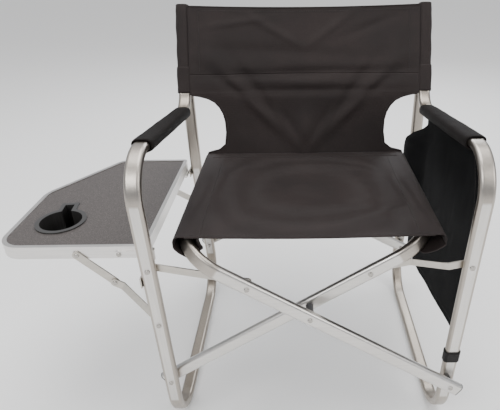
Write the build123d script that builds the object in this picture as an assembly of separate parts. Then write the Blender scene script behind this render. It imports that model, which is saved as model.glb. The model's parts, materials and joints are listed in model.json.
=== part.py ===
"""Folding camp chair with a hinged side table, all lengths in millimetres.

+X is the sitter's left-to-right line seen from the front, +Y runs to the back and +Z is up.
While it is built, the chair's own zero is the middle between the two side frames, at the front
pivots, on the floor. The finished chair is moved so that zero is the bottom middle of its box.
"""
from build123d import *
from math import cos, hypot, radians, sin
import os

# ---- tubes -----------------------------------------------------------------------------
TUBE_WIDE = 27.0        # flat oval, wide side faces the front
TUBE_DEEP = 15.0
TUBE_CORNER = 6.5
TUBE_WALL = 1.5
HALF_WIDE = TUBE_WIDE / 2
HALF_DEEP = TUBE_DEEP / 2

# ---- side frames (Y, Z in the frame's own plane) ---------------------------------------
FRAME_X = 275.0         # centre of each side frame
PIVOT_Z = 140.0         # lower pivots of the crossed seat tubes
FRONT_LEAN = 0.058      # front leg leans forward, mm per mm of height
REAR_LEAN = 0.2         # rear leg leans forward too, up to its knee
REAR_PIVOT_Y = 500.0
REAR_KNEE_Z = 420.0     # rear leg is upright above this height
POST_Y = 421.0          # back post passes here at POST_Z
POST_Z = 615.0
POST_LEAN = 0.415       # back post leans back, mm per mm of height
POST_TOP_Z = 775.0
ARM_REAR_Y = 403.0
ARM_REAR_Z = 571.0
ARM_FRONT_Z = 629.0
REAR_LEG_TOP_Z = 730.0
TUBES_GAP = 0.33        # between the post and the rear leg's upper end
BEND_ARM_REAR = 60.0
BEND_ARM_FRONT = 70.0
BEND_FOOT = 90.0
BEND_REAR_KNEE = 200.0
BEND_REAR_TOP = 80.0
POST_RIVET_Z = (670.0, 712.0)

# ---- crossed seat tubes: each is a flat U ----------------------------------------------
CROSS_ANGLE = 32.75     # of the crossed legs above the floor, chair open
RAIL_X = 220.0
RAIL_REAR_Y = 388.0     # rear corner of both rails before rounding
RAIL_BEND = 75.0
LEFT_RAIL_FRONT_Y = -23.0    # left rail's tube passes in front of the right legs
LEFT_RAIL_REAR_Y = 477.0
RIGHT_RAIL_FRONT_Y = 17.0    # right rail's tube passes behind the left legs
RIGHT_RAIL_REAR_Y = 524.5
TUBE_TAIL = 20.0        # seat tube's end past the lower pivot

# ---- rivets and pins -------------------------------------------------------------------
SHANK_R = 2.5
RUNNING_GAP = 0.05      # radial, pin in hole
HEAD_R = 4.6
HEAD_T = 2.2
HEAD_ROUND = 1.6
FLAT_HEAD_T = 1.1       # post rivets, under the cloth
FACE_GAP = 0.3
WASHER_R = 7.0
SMALL_WASHER_R = 5.0

# ---- steel links between leg and seat tube ---------------------------------------------
LINK_LEG_Z = 422.0
LINK_ALONG = 129.6      # from the centre pivot along the seat tube
LINK_WIDE = 14.0
LINK_THICK = 2.5
LEG_SIDE_Y = -8.0       # front face of a link where it lies behind the leg
LINK_STEP = (36.0, 96.0)     # the right link steps back between these distances

# ---- side table, on the left frame -----------------------------------------------------
TABLE_TOP_Z = 427.0
TABLE_IN_X = -296.0
TABLE_OUT_X = -574.0
TABLE_FRONT_Y = 49.0
TABLE_REAR_Y = 450.5
TABLE_SLANT_Y = 270.0   # the slanted edge starts here on the outer side
TABLE_SLANT_X = -458.0  # and meets the rear edge here
TABLE_BENDS = [8.0, 8.0, 35.0, 60.0, 45.0]
RIM_TALL = 25.0
RIM_WALL = 1.8
RIM_LIP = 8.0
RIM_LIP_T = 1.2
BOARD_T = 12.0
HINGE_X = -297.0
HINGE_Z = 397.0
KNUCKLE_R = 4.0
HINGE_PIN_R = 1.8
KNUCKLE_LONG = 17.0
KNUCKLE_START = 3.0     # from the rim's end face to the first knuckle
LEAF_T = 1.9
LEAF_WIDE = 28.0
LEG_LEAF_T = 2.4
LEG_LEAF_TALL = 20.0
LEAF_RIVET_UP = 5.5     # leaf rivets sit this far above the hinge line
LEAF_HEAD_R = 3.8
BRACKET_X = -347.0
BRACKET_END_X = -307.0
BRACKET_Z = 411.0
BRACKET_WIDE = 15.0
BRACKET_T = 2.1

# ---- folding braces under the table ----------------------------------------------------
BRACE_LEG_Z = 297.0
BRACE_RIM_X = -424.0
BRACE_RIM_Z = 410.0
KNEE_X = -364.0
KNEE_Z = 350.0
BRACE_WIDE = 16.0
BRACE_T = 2.5
BRACE_LEG_Y = 0.5       # front lower bar starts here, behind the front leg
BRACE_FLAT = (12.0, 16.0)    # its flat lengths at the leg and at the knee

# ---- cup holder ------------------------------------------------------------------------
CUP_X = -489.0
CUP_Y = 145.0
CUP_R = 39.5
CUP_WALL = 2.0
CUP_DEEP = 60.0
CUP_FLANGE_R = 48.0
CUP_FLANGE_T = 2.6
CUP_DRAIN_R = 5.0
NOTCH_LENGTH = 66.0     # mug-handle notch, from the cup's centre
NOTCH_WIDE = 18.0
NOTCH_LEAN = 7.0        # degrees off +Y, outward

# ---- soft parts ------------------------------------------------------------------------
PAD_T = 3.0
PAD_FRONT_Y = 57.0
PAD_REAR_Y = 388.0
CLOTH_T = 1.8
CLOTH_GAP = 0.5
SEAT_Z = 473.0          # underside of the seat cloth
SEAT_T = 2.5
SEAT_FRONT_Y = 0.0
SEAT_REAR_Y = 371.0
SEAT_HALF_X = 234.0
SEAT_LIP_LOW_Z = 452.0
BACK_BOTTOM_Z = 607.0
BACK_TOP_Z = 785.0
BACK_SLEEVE_Z = 656.0   # above this the sleeve also closes behind the rear leg's end
BACK_GAP = 1.6          # back cloth stands this far in front of the post
BACK_SEAT_Y = 374.0     # the back cloth comes down to the seat here
BACK_SEAT_Z = 474.0
WAIST = [(240.0, 603.0), (205.0, 588.0), (187.0, 558.0), (183.0, 520.0), (184.0, 494.0),
         (196.0, 483.0), (228.0, 477.0), (228.0, 474.0)]
BAG_X = 277.0
BAG_T = 2.2
BAG_SHAPE = [(6.0, 252.0), (4.0, 300.0), (4.0, 500.0), (31.0, 565.0)]
BAG_LOWER = [(396.0, 545.0), (410.0, 480.0), (418.0, 186.0), (279.0, 193.0), (133.0, 225.0),
             (28.0, 242.0)]
BAG_TOP_REAR_Y = 368.0
POCKET_DEEP = 16.0
POCKET_T = 1.6
POCKET_FRONT_Y = 76.0
POCKET_REAR_Y = 356.0
POCKET_BOTTOM_Z = 262.0
POCKET_TOP_Z = 470.0
STRAP_Z = 190.0
STRAP_TALL = 26.0
STRAP_T = 1.4
FAR = 2000.0


# ---- places ----------------------------------------------------------------------------
def front_leg_y(z):
    """Centre of a front leg at height z."""
    return -FRONT_LEAN * (z - PIVOT_Z)


def rear_leg_y(z):
    """Centre of a rear leg at height z, below its upper bend."""
    return REAR_PIVOT_Y - REAR_LEAN * (min(z, REAR_KNEE_Z) - PIVOT_Z)


def post_y(z):
    """Centre of a back post at height z."""
    return POST_Y + POST_LEAN * (z - POST_Z)


def arm_z(y):
    """Centre of an armrest tube at depth y."""
    front_y = front_leg_y(ARM_FRONT_Z)
    slope = (ARM_REAR_Z - ARM_FRONT_Z) / (ARM_REAR_Y - front_y)
    return ARM_FRONT_Z + slope * (y - front_y)


def behind_post_y(z):
    """Centre of the rear leg's upper end, which lies along the back of the post."""
    return post_y(z) + (TUBE_DEEP + TUBES_GAP) * hypot(1, POST_LEAN)


def centre_reach():
    """Distance along a crossed leg from its lower pivot to the centre pivot."""
    return FRAME_X / cos(radians(CROSS_ANGLE))


def rail_reach():
    """Distance along a crossed leg from its lower pivot to the rail."""
    return (FRAME_X + RAIL_X) / cos(radians(CROSS_ANGLE))


def seat_tube_point(side, along):
    """X and Z on a seat tube; side is -1 for the tube that ends in the left rail."""
    x = -side * FRAME_X + side * along * cos(radians(CROSS_ANGLE))
    return x, PIVOT_Z + along * sin(radians(CROSS_ANGLE))


def seat_tube_y(side, along, front):
    """Depth of a seat tube's front or rear leg at a distance from its lower pivot."""
    if front:
        return LEFT_RAIL_FRONT_Y if side < 0 else RIGHT_RAIL_FRONT_Y
    start = LEFT_RAIL_REAR_Y if side < 0 else RIGHT_RAIL_REAR_Y
    return start + (RAIL_REAR_Y - start) * along / rail_reach()


def seat_tube_slope(side, front):
    """How fast a seat tube's leg runs in Y along its length."""
    return abs(seat_tube_y(side, 1.0, front) - seat_tube_y(side, 0.0, front))


def face_room(slope, radius):
    """From a leaning tube's centre to a flat face that clears it over a radius."""
    return HALF_DEEP * hypot(1, slope) + radius * slope + FACE_GAP


# ---- building blocks -------------------------------------------------------------------
def oval(width, depth, corner):
    """Flat oval section."""
    return RectangleRounded(width, depth, corner)


def oval_ring(grow_in, grow_out):
    """Section of a sleeve round the tube: its inside and outside stand off the tube."""
    outer = oval(TUBE_WIDE + 2 * grow_out, TUBE_DEEP + 2 * grow_out, TUBE_CORNER + grow_out)
    inner = oval(TUBE_WIDE + 2 * grow_in, TUBE_DEEP + 2 * grow_in, TUBE_CORNER + grow_in)
    return outer - inner


def swept(points, radii, wide_dir, section):
    """A section carried along straight runs joined by arcs."""
    path = FilletPolyline(*points, radius=radii)
    start = Plane(origin=path @ 0, x_dir=wide_dir, z_dir=path % 0)
    return sweep(start * section, path=path)


def rod_y(x, z, y_front, y_back, radius):
    """A round bar along Y."""
    face = Plane(origin=(x, y_front, z), z_dir=(0, 1, 0)) * Circle(radius)
    return extrude(face, amount=y_back - y_front)


def rod_x(x_from, x_to, y, z, radius):
    """A round bar along X."""
    face = Plane(origin=(x_from, y, z), z_dir=(1, 0, 0)) * Circle(radius)
    return extrude(face, amount=x_to - x_from)


def drilled(solid, spots):
    """Cut a rivet hole right through along Y at each (x, z, y_front, y_back)."""
    for x, z, y_front, y_back in spots:
        solid -= rod_y(x, z, y_front, y_back, SHANK_R + RUNNING_GAP)
    return solid


def head(x, z, y, facing):
    """Domed rivet head on a face at y; facing is -1 to the front, 1 to the back."""
    low = min(y, y + facing * HEAD_T)
    disc = rod_y(x, z, low, low + HEAD_T, HEAD_R)
    rim = disc.edges().filter_by(GeomType.CIRCLE).sort_by(Axis.Y)[0 if facing < 0 else -1]
    return fillet(rim, HEAD_ROUND)


def rivet(x, z, y_front, y_back):
    """A rivet with a head at both ends."""
    return rod_y(x, z, y_front, y_back, SHANK_R) + head(x, z, y_front, -1) + head(x, z, y_back, 1)


def stub_rivet(x, z, y_front, y_back):
    """A rivet with a head in front only."""
    return rod_y(x, z, y_front, y_back, SHANK_R) + head(x, z, y_front, -1)


def washer(x, z, y_front, y_back, radius):
    """A bush or washer round a rivet, between two faces."""
    ring = rod_y(x, z, y_front, y_back, radius)
    return ring - rod_y(x, z, y_front, y_back, SHANK_R + RUNNING_GAP)


def strip(start, end, width, thick, stations, holes=(True, True)):
    """A flat bar with round ends that steps in Y at the given (distance, y) stations."""
    run = end[0] - start[0]
    rise = end[1] - start[1]
    length = hypot(run, rise)
    along = Vector(run / length, 0, rise / length)
    y_low = min(y for _, y in stations)
    y_high = max(y for _, y in stations) + thick
    face = Plane(origin=(start[0], y_low, start[1]), x_dir=along, z_dir=(0, 1, 0))
    outline = extrude(face * Pos(length / 2, 0) * SlotCenterToCenter(length, width),
                      amount=y_high - y_low)
    across = along.cross(Vector(0, 1, 0))
    corner = Vector(start[0], 0, start[1]) - across * width
    side = Plane(origin=corner, x_dir=along, z_dir=across)
    turn = 1 if side.y_dir.Y > 0 else -1
    profile = [(s, turn * y) for s, y in stations]
    profile += [(s, turn * (y + thick)) for s, y in reversed(stations)]
    band = extrude(side * make_face(Polyline(*profile, close=True)), amount=2 * width)
    spots = [(*point, y_low, y_high) for point, hole in zip((start, end), holes) if hole]
    return drilled(outline & band, spots)


def prism(points, radii, z_low, z_high, inset=0.0):
    """An upright plate from rounded corners (x, y), drawn in by inset."""
    ring = FilletPolyline(*points, radius=radii, close=True)
    face = make_face(ring)
    if inset:
        face = offset(face, amount=-inset)
    return extrude(Pos(0, 0, z_low) * face, amount=z_high - z_low, dir=(0, 0, 1))


# ---- side frames -----------------------------------------------------------------------
def frame_corners(x):
    """Corners of the one bent tube of a side frame, from the post's top to the rear leg's top."""
    floor_z = HALF_DEEP
    knee_y = rear_leg_y(REAR_KNEE_Z)
    top_bend_z = POST_Z + (knee_y - behind_post_y(POST_Z)) / POST_LEAN
    corners = [(post_y(POST_TOP_Z), POST_TOP_Z), (ARM_REAR_Y, ARM_REAR_Z),
               (front_leg_y(ARM_FRONT_Z), ARM_FRONT_Z), (front_leg_y(floor_z), floor_z),
               (rear_leg_y(floor_z), floor_z), (knee_y, REAR_KNEE_Z), (knee_y, top_bend_z),
               (behind_post_y(REAR_LEG_TOP_Z), REAR_LEG_TOP_Z)]
    return [(x, y, z) for y, z in corners]


FRAME_BENDS = [BEND_ARM_REAR, BEND_ARM_FRONT, BEND_FOOT, BEND_FOOT, BEND_REAR_KNEE, BEND_REAR_TOP]


def post_rivet_rod(side, z, start, end, radius):
    """A round bar square to the post and the rear leg behind it, from start to end behind the post's centre."""
    back = Vector(0, 1, -POST_LEAN).normalized()
    centre = Vector(side * FRAME_X, post_y(z), z) + back * start
    return extrude(Plane(origin=centre, z_dir=back) * Circle(radius), amount=end - start)


def frame_holes(side):
    """Every hole along Y in a side frame."""
    x = side * FRAME_X
    front = [PIVOT_Z, LINK_LEG_Z]
    rear = [PIVOT_Z]
    if side < 0:
        front.append(BRACE_LEG_Z)
        rear.append(BRACE_LEG_Z)
    holes = [(x, z, front_leg_y(z) - TUBE_DEEP, front_leg_y(z) + TUBE_DEEP) for z in front]
    holes += [(x, z, rear_leg_y(z) - TUBE_DEEP, rear_leg_y(z) + TUBE_DEEP) for z in rear]
    return holes


def side_frame_tube(side):
    """One side frame: post, armrest, front leg, floor runner and rear leg in one tube."""
    section = oval_ring(-TUBE_WALL, 0.0)
    tube = swept(frame_corners(side * FRAME_X), FRAME_BENDS, (1, 0, 0), section)
    tube = drilled(tube, frame_holes(side))
    for z in POST_RIVET_Z:
        tube -= post_rivet_rod(side, z, -TUBE_DEEP, 2 * TUBE_DEEP, SHANK_R + RUNNING_GAP)
    if side < 0:
        for x, y, z in leaf_rivet_spots():
            tube -= rod_x(x - FACE_GAP, x + HALF_WIDE, y, z, SHANK_R + RUNNING_GAP)
    return tube


def end_plug(centre, out_dir, wide_dir):
    """Plastic plug in a tube's end: a thin lip outside and a stem inside."""
    stem_gap = 0.1
    lip_t = 2.0
    stem = 14.0
    lip = Plane(origin=centre, x_dir=wide_dir, z_dir=out_dir) * oval(TUBE_WIDE, TUBE_DEEP, TUBE_CORNER)
    shrink = TUBE_WALL + stem_gap
    core = oval(TUBE_WIDE - 2 * shrink, TUBE_DEEP - 2 * shrink, TUBE_CORNER - shrink)
    inside = Plane(origin=centre, x_dir=wide_dir, z_dir=out_dir * -1) * core
    return extrude(lip, amount=lip_t) + extrude(inside, amount=stem)


def side_frame_plugs(side):
    """Plugs in the post's top end and in the rear leg's upper end."""
    corners = frame_corners(side * FRAME_X)
    up = Vector(0, POST_LEAN, 1).normalized()
    return [end_plug(corners[0], up, (1, 0, 0)), end_plug(corners[-1], up, (1, 0, 0))]


def post_rivets(side):
    """Flat-headed rivets that hold the rear leg's upper end to the back post."""
    front = -HALF_DEEP
    back = HALF_DEEP + TUBE_DEEP + TUBES_GAP
    rivets = []
    for z in POST_RIVET_Z:
        body = post_rivet_rod(side, z, front, back, SHANK_R)
        body += post_rivet_rod(side, z, front - FLAT_HEAD_T, front, HEAD_R)
        rivets.append(body + post_rivet_rod(side, z, back, back + FLAT_HEAD_T, HEAD_R))
    return rivets


def arm_pad(side):
    """Padded sleeve round the armrest tube."""
    x = side * FRAME_X
    end_z = POST_Z
    points = [(x, PAD_FRONT_Y, arm_z(PAD_FRONT_Y)), (x, ARM_REAR_Y, ARM_REAR_Z),
              (x, post_y(end_z), end_z)]
    sleeve = swept(points, [BEND_ARM_REAR], (1, 0, 0), oval_ring(FACE_GAP, PAD_T))
    keep = Pos(x, PAD_REAR_Y - FAR / 2, ARM_REAR_Z) * Box(4 * TUBE_WIDE, FAR, FAR)
    return sleeve & keep


# ---- crossed seat tubes ----------------------------------------------------------------
def seat_tube(side):
    """A flat U: crossed front leg, seat rail and crossed rear leg."""
    reach = rail_reach()
    points = []
    for along, front in ((-TUBE_TAIL, True), (reach, True), (reach, False), (-TUBE_TAIL, False)):
        x, z = seat_tube_point(side, along)
        points.append((x, seat_tube_y(side, along, front), z))
    wide = (-side * sin(radians(CROSS_ANGLE)), 0, cos(radians(CROSS_ANGLE)))
    tube = swept(points, [RAIL_BEND, RAIL_BEND], wide, oval_ring(-TUBE_WALL, 0.0))
    spots = [(0.0, True), (0.0, False), (centre_reach(), True), (centre_reach(), False),
             (centre_reach() + LINK_ALONG, True)]
    holes = []
    for along, front in spots:
        y = seat_tube_y(side, along, front)
        holes.append((*seat_tube_point(side, along), y - TUBE_DEEP, y + TUBE_DEEP))
    return drilled(tube, holes)


def seat_tube_plugs(side):
    """Plastic plugs in the lower ends of a seat tube."""
    wide = (-side * sin(radians(CROSS_ANGLE)), 0, cos(radians(CROSS_ANGLE)))
    x, z = seat_tube_point(side, -TUBE_TAIL)
    plugs = []
    for front in (True, False):
        y = seat_tube_y(side, -TUBE_TAIL, front)
        x_in, z_in = seat_tube_point(side, 0.0)
        out_dir = Vector(x - x_in, y - seat_tube_y(side, 0.0, front), z - z_in).normalized()
        plugs.append(end_plug((x, y, z), out_dir, wide))
    return plugs


def pivot_faces(side, front, radius):
    """Room for a flat face of this radius on the leg and on the seat tube at a lower pivot."""
    leg = face_room(FRONT_LEAN if front else REAR_LEAN, radius)
    return leg, face_room(seat_tube_slope(side, front), radius)


def lower_pivots(side):
    """Rivets of the lower pivots of the seat tube that ends in the rail on this side."""
    rivets = []
    for front in (True, False):
        tube = seat_tube_y(side, 0.0, front)
        leg = front_leg_y(PIVOT_Z) if front else rear_leg_y(PIVOT_Z)
        leg_room, tube_room = pivot_faces(side, front, HEAD_R)
        ends = (tube - tube_room, leg + leg_room)
        if side > 0:
            ends = (leg - leg_room, tube + tube_room)
        rivets.append(rivet(*seat_tube_point(side, 0.0), *ends))
    return rivets


def lower_washers(side):
    """Plastic washers between the seat tube and the legs at the lower pivots."""
    washers = []
    for front in (True, False):
        radius = WASHER_R if front else SMALL_WASHER_R
        tube = seat_tube_y(side, 0.0, front)
        leg = front_leg_y(PIVOT_Z) if front else rear_leg_y(PIVOT_Z)
        leg_room, tube_room = pivot_faces(side, front, radius)
        ends = (tube + tube_room, leg - leg_room)
        if side > 0:
            ends = (leg + leg_room, tube - tube_room)
        washers.append(washer(*seat_tube_point(side, 0.0), *ends, radius))
    return washers


def centre_pivots():
    """Rivets where the two seat tubes cross."""
    x, z = seat_tube_point(-1, centre_reach())
    rivets = []
    for front in (True, False):
        left = seat_tube_y(-1, centre_reach(), front)
        right = seat_tube_y(1, centre_reach(), front)
        left_room = face_room(seat_tube_slope(-1, front), HEAD_R)
        right_room = face_room(seat_tube_slope(1, front), HEAD_R)
        rivets.append(rivet(x, z, left - left_room, right + right_room))
    return rivets


def centre_washers():
    """Plastic spacers between the two seat tubes where they cross."""
    x, z = seat_tube_point(-1, centre_reach())
    washers = []
    for front in (True, False):
        radius = WASHER_R if front else SMALL_WASHER_R
        faces = []
        for side in (-1, 1):
            room = face_room(seat_tube_slope(side, front), radius)
            faces.append(seat_tube_y(side, centre_reach(), front) - side * room)
        washers.append(washer(x, z, *faces, radius))
    return washers


# ---- links -----------------------------------------------------------------------------
def link_end_y(side):
    """Front face of a link at its seat tube end."""
    if side < 0:
        return LEG_SIDE_Y
    return RIGHT_RAIL_FRONT_Y + HALF_DEEP + FACE_GAP + 0.1


def link(side):
    """Steel strip from behind the front leg to behind the seat tube; the right one is stepped."""
    start = (side * FRAME_X, LINK_LEG_Z)
    end = seat_tube_point(side, centre_reach() + LINK_ALONG)
    length = hypot(end[0] - start[0], end[1] - start[1])
    stations = [(-LINK_WIDE, LEG_SIDE_Y), (LINK_STEP[0], LEG_SIDE_Y),
                (LINK_STEP[1], link_end_y(side)), (length + LINK_WIDE, link_end_y(side))]
    if side < 0:
        stations = [stations[0], stations[-1]]
    return strip(start, end, LINK_WIDE, LINK_THICK, stations)


def link_leg_rivet(side):
    """Rivet of a link through the front leg."""
    front_end = front_leg_y(LINK_LEG_Z) - face_room(FRONT_LEAN, HEAD_R)
    return rivet(side * FRAME_X, LINK_LEG_Z, front_end, LEG_SIDE_Y + LINK_THICK + FACE_GAP)


def link_tube_rivet(side):
    """Rivet of a link in the seat tube; the left one stands off to reach the link."""
    along = centre_reach() + LINK_ALONG
    x, z = seat_tube_point(side, along)
    y = seat_tube_y(side, along, True)
    body = stub_rivet(x, z, y - HALF_DEEP - FACE_GAP, link_end_y(side) - FACE_GAP)
    if side > 0:
        return body
    return body + rod_y(x, z, y + HALF_DEEP + 0.1, link_end_y(side) - FACE_GAP, SMALL_WASHER_R)


def link_tip_button(side):
    """Round button on the back of a link over its seat tube rivet."""
    x, z = seat_tube_point(side, centre_reach() + LINK_ALONG)
    y = link_end_y(side)
    return rod_y(x, z, y, y + LINK_THICK, SHANK_R) + head(x, z, y + LINK_THICK, 1)


# ---- side table ------------------------------------------------------------------------
TABLE_CORNERS = [(TABLE_IN_X, TABLE_FRONT_Y), (TABLE_IN_X, TABLE_REAR_Y),
                 (TABLE_SLANT_X, TABLE_REAR_Y), (TABLE_OUT_X, TABLE_SLANT_Y),
                 (TABLE_OUT_X, TABLE_FRONT_Y)]


def table_plate(z_low, z_high, inset):
    """A slice of the table's outline, drawn in by inset."""
    return prism(TABLE_CORNERS, TABLE_BENDS, z_low, z_high, inset)


def table_rim():
    """Channel-shaped aluminium edge all round the table."""
    low = TABLE_TOP_Z - RIM_TALL
    rim = table_plate(low, TABLE_TOP_Z, 0.0)
    rim -= table_plate(low + RIM_LIP_T, TABLE_TOP_Z - RIM_LIP_T, RIM_WALL)
    rim -= table_plate(low, TABLE_TOP_Z, RIM_LIP)
    spots = []
    for x, z in ((BRACE_RIM_X, BRACE_RIM_Z), (BRACKET_X, BRACKET_Z)):
        spots.append((x, z, TABLE_FRONT_Y - RIM_LIP, TABLE_FRONT_Y + RIM_LIP))
        spots.append((x, z, TABLE_REAR_Y - RIM_LIP, TABLE_REAR_Y + RIM_LIP))
    return drilled(rim, spots)


def cup_notch(width, length):
    """Plan of the mug-handle notch, from the cup's centre outward."""
    turn = Location((CUP_X, CUP_Y, 0), (0, 0, 90 + NOTCH_LEAN))
    return turn * Pos(length / 2, 0) * Rectangle(length, width)


def table_board():
    """The board that the rim holds, with the cup holder's hole."""
    top = TABLE_TOP_Z - RIM_LIP_T - FACE_GAP
    board = table_plate(top - BOARD_T, top, RIM_WALL + FACE_GAP)
    gap = 0.5
    hole = Pos(CUP_X, CUP_Y) * Circle(CUP_R + CUP_WALL + gap)
    hole += cup_notch(NOTCH_WIDE + 2 * (CUP_WALL + gap), NOTCH_LENGTH + CUP_WALL + gap)
    board -= extrude(Pos(0, 0, top - 2 * BOARD_T) * hole, amount=3 * BOARD_T)
    return board


def cup_holder():
    """Moulded cup holder: flange on the board, open cup and a notch for a mug's handle."""
    board_top = TABLE_TOP_Z - RIM_LIP_T - FACE_GAP
    low = board_top - CUP_DEEP
    flange = Pos(CUP_X, CUP_Y) * Circle(CUP_FLANGE_R)
    rim_grow = CUP_FLANGE_R - CUP_R
    flange += cup_notch(NOTCH_WIDE + 2 * rim_grow, NOTCH_LENGTH + rim_grow)
    shell = Pos(CUP_X, CUP_Y) * Circle(CUP_R + CUP_WALL)
    shell += cup_notch(NOTCH_WIDE + 2 * CUP_WALL, NOTCH_LENGTH + CUP_WALL)
    hollow = Pos(CUP_X, CUP_Y) * Circle(CUP_R) + cup_notch(NOTCH_WIDE, NOTCH_LENGTH)
    body = extrude(Pos(0, 0, board_top) * flange, amount=CUP_FLANGE_T)
    body += extrude(Pos(0, 0, low) * shell, amount=CUP_DEEP)
    body -= extrude(Pos(0, 0, low + CUP_WALL) * hollow, amount=CUP_DEEP + 2 * CUP_FLANGE_T)
    drain = Pos(CUP_X, CUP_Y, low - 1) * Circle(CUP_DRAIN_R)
    return body - extrude(drain, amount=2 * CUP_WALL)


def rim_bracket(y_face):
    """Steel plate riveted to the end face of the rim, towards the leg."""
    stations = [(-BRACKET_WIDE, y_face), (BRACKET_END_X - BRACKET_X + BRACKET_WIDE, y_face)]
    return strip((BRACKET_X, BRACKET_Z), (BRACKET_END_X, BRACKET_Z), BRACKET_WIDE, BRACKET_T,
                 stations, (True, False))


def bracket_rivets():
    """Rivets that hold the brackets to the rim."""
    front_y = TABLE_FRONT_Y - BRACKET_T - 0.2
    back_y = TABLE_REAR_Y + BRACKET_T + 0.2
    front = stub_rivet(BRACKET_X, BRACKET_Z, front_y, TABLE_FRONT_Y + RIM_WALL)
    rear = rod_y(BRACKET_X, BRACKET_Z, TABLE_REAR_Y - RIM_WALL, back_y, SHANK_R)
    return [front, rear + head(BRACKET_X, BRACKET_Z, back_y, 1)]


def knuckle_spans(front):
    """Y spans of the leg's knuckle and the table's knuckle in one hinge."""
    inward = 1 if front else -1
    start = (TABLE_FRONT_Y if front else TABLE_REAR_Y) + inward * KNUCKLE_START
    middle = start + inward * KNUCKLE_LONG
    end = middle + inward * (KNUCKLE_LONG + FACE_GAP)
    leg = sorted((start, middle))
    table = sorted((middle + inward * FACE_GAP, end))
    return leg, table


def knuckle(span):
    """A hinge knuckle with its pin hole."""
    ring = rod_y(HINGE_X, HINGE_Z, *span, KNUCKLE_R)
    return ring - rod_y(HINGE_X, HINGE_Z, *span, HINGE_PIN_R + RUNNING_GAP)


def leg_leaf_y(front):
    """Where a leg leaf's plate starts, at the leg, and ends, past its knuckle."""
    leg = front_leg_y(HINGE_Z) if front else rear_leg_y(HINGE_Z)
    span, _ = knuckle_spans(front)
    far = span[1] if front else span[0]
    outer = -HALF_DEEP if front else HALF_DEEP
    return sorted((leg + outer, far))


def leg_leaf(front):
    """Hinge leaf on the outer side of a leg, with the leg's knuckle."""
    y_from, y_to = leg_leaf_y(front)
    plate_x = -FRAME_X - HALF_WIDE - FACE_GAP - LEG_LEAF_T / 2
    plate = Pos(plate_x, (y_from + y_to) / 2, HINGE_Z) * Box(LEG_LEAF_T, y_to - y_from, LEG_LEAF_TALL)
    span, _ = knuckle_spans(front)
    web_x = (HINGE_X + plate_x) / 2
    web = Pos(web_x, (span[0] + span[1]) / 2, HINGE_Z) * Box(plate_x - HINGE_X, span[1] - span[0],
                                                           LEG_LEAF_T)
    bore = rod_y(HINGE_X, HINGE_Z, *span, HINGE_PIN_R + RUNNING_GAP)
    leaf = plate + web + rod_y(HINGE_X, HINGE_Z, *span, KNUCKLE_R) - bore
    for x, y, z in leaf_rivet_spots():
        leaf -= rod_x(x - FACE_GAP - LEG_LEAF_T, x, y, z, SHANK_R + RUNNING_GAP)
    return leaf


def leaf_rivet_spots():
    """Points on the outer side of the left legs where the hinge leaves are riveted."""
    x = -FRAME_X - HALF_WIDE
    z = HINGE_Z + LEAF_RIVET_UP
    return [(x, front_leg_y(z), z), (x, rear_leg_y(z), z)]


def leaf_rivets():
    """Short rivets of the hinge leaves on the left legs."""
    rivets = []
    for x, y, z in leaf_rivet_spots():
        face = x - FACE_GAP - LEG_LEAF_T - 0.1
        shank = rod_x(face, x + 2 * TUBE_WALL, y, z, SHANK_R)
        rivets.append(shank + rod_x(face - HEAD_T / 2, face, y, z, LEAF_HEAD_R))
    return rivets


def table_leaf(front):
    """Hinge leaf under the rim, with the table's knuckle."""
    low = TABLE_TOP_Z - RIM_TALL
    leg_span, table_span = knuckle_spans(front)
    y_from = min(leg_span[0], table_span[0])
    y_to = max(leg_span[1], table_span[1])
    leaf = Pos(HINGE_X - LEAF_WIDE / 2, (y_from + y_to) / 2, low - 0.1 - LEAF_T / 2)
    leaf = leaf * Box(LEAF_WIDE, y_to - y_from, LEAF_T)
    clear = (leg_span[0] - FACE_GAP, leg_span[1] + FACE_GAP)
    leaf -= rod_y(HINGE_X, HINGE_Z, *clear, KNUCKLE_R + 2 * FACE_GAP)
    leaf += rod_y(HINGE_X, HINGE_Z, *table_span, KNUCKLE_R)
    return leaf - rod_y(HINGE_X, HINGE_Z, *table_span, HINGE_PIN_R + RUNNING_GAP)


def hinge_pins():
    """Pins through both hinges, held in the legs' knuckles."""
    pins = []
    for front in (True, False):
        leg_span, table_span = knuckle_spans(front)
        ends = (min(leg_span[0], table_span[0]), max(leg_span[1], table_span[1]))
        pins.append(rod_y(HINGE_X, HINGE_Z, *ends, HINGE_PIN_R))
    return pins


# ---- braces ----------------------------------------------------------------------------
UPPER_FRONT_Y = TABLE_FRONT_Y - FACE_GAP - BRACE_T
LOWER_FRONT_Y = UPPER_FRONT_Y - FACE_GAP - BRACE_T
UPPER_REAR_Y = TABLE_REAR_Y + 2 * FACE_GAP
LOWER_REAR_Y = UPPER_REAR_Y + FACE_GAP + BRACE_T


def brace_lower(front):
    """Bar from the leg to the knee; the front one slants back from the leg to the table's end."""
    start = (-FRAME_X, BRACE_LEG_Z)
    end = (KNEE_X, KNEE_Z)
    length = hypot(end[0] - start[0], end[1] - start[1])
    stations = [(-BRACE_WIDE, LOWER_REAR_Y), (length + BRACE_WIDE, LOWER_REAR_Y)]
    if front:
        stations = [(-BRACE_WIDE, BRACE_LEG_Y), (BRACE_FLAT[0], BRACE_LEG_Y),
                    (length - BRACE_FLAT[1], LOWER_FRONT_Y), (length + BRACE_WIDE, LOWER_FRONT_Y)]
    return strip(start, end, BRACE_WIDE, BRACE_T, stations)


def brace_upper(y):
    """Bar from the rim to the knee."""
    start = (BRACE_RIM_X, BRACE_RIM_Z)
    end = (KNEE_X, KNEE_Z)
    length = hypot(end[0] - start[0], end[1] - start[1])
    return strip(start, end, BRACE_WIDE, BRACE_T, [(-BRACE_WIDE, y), (length + BRACE_WIDE, y)])


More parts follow.
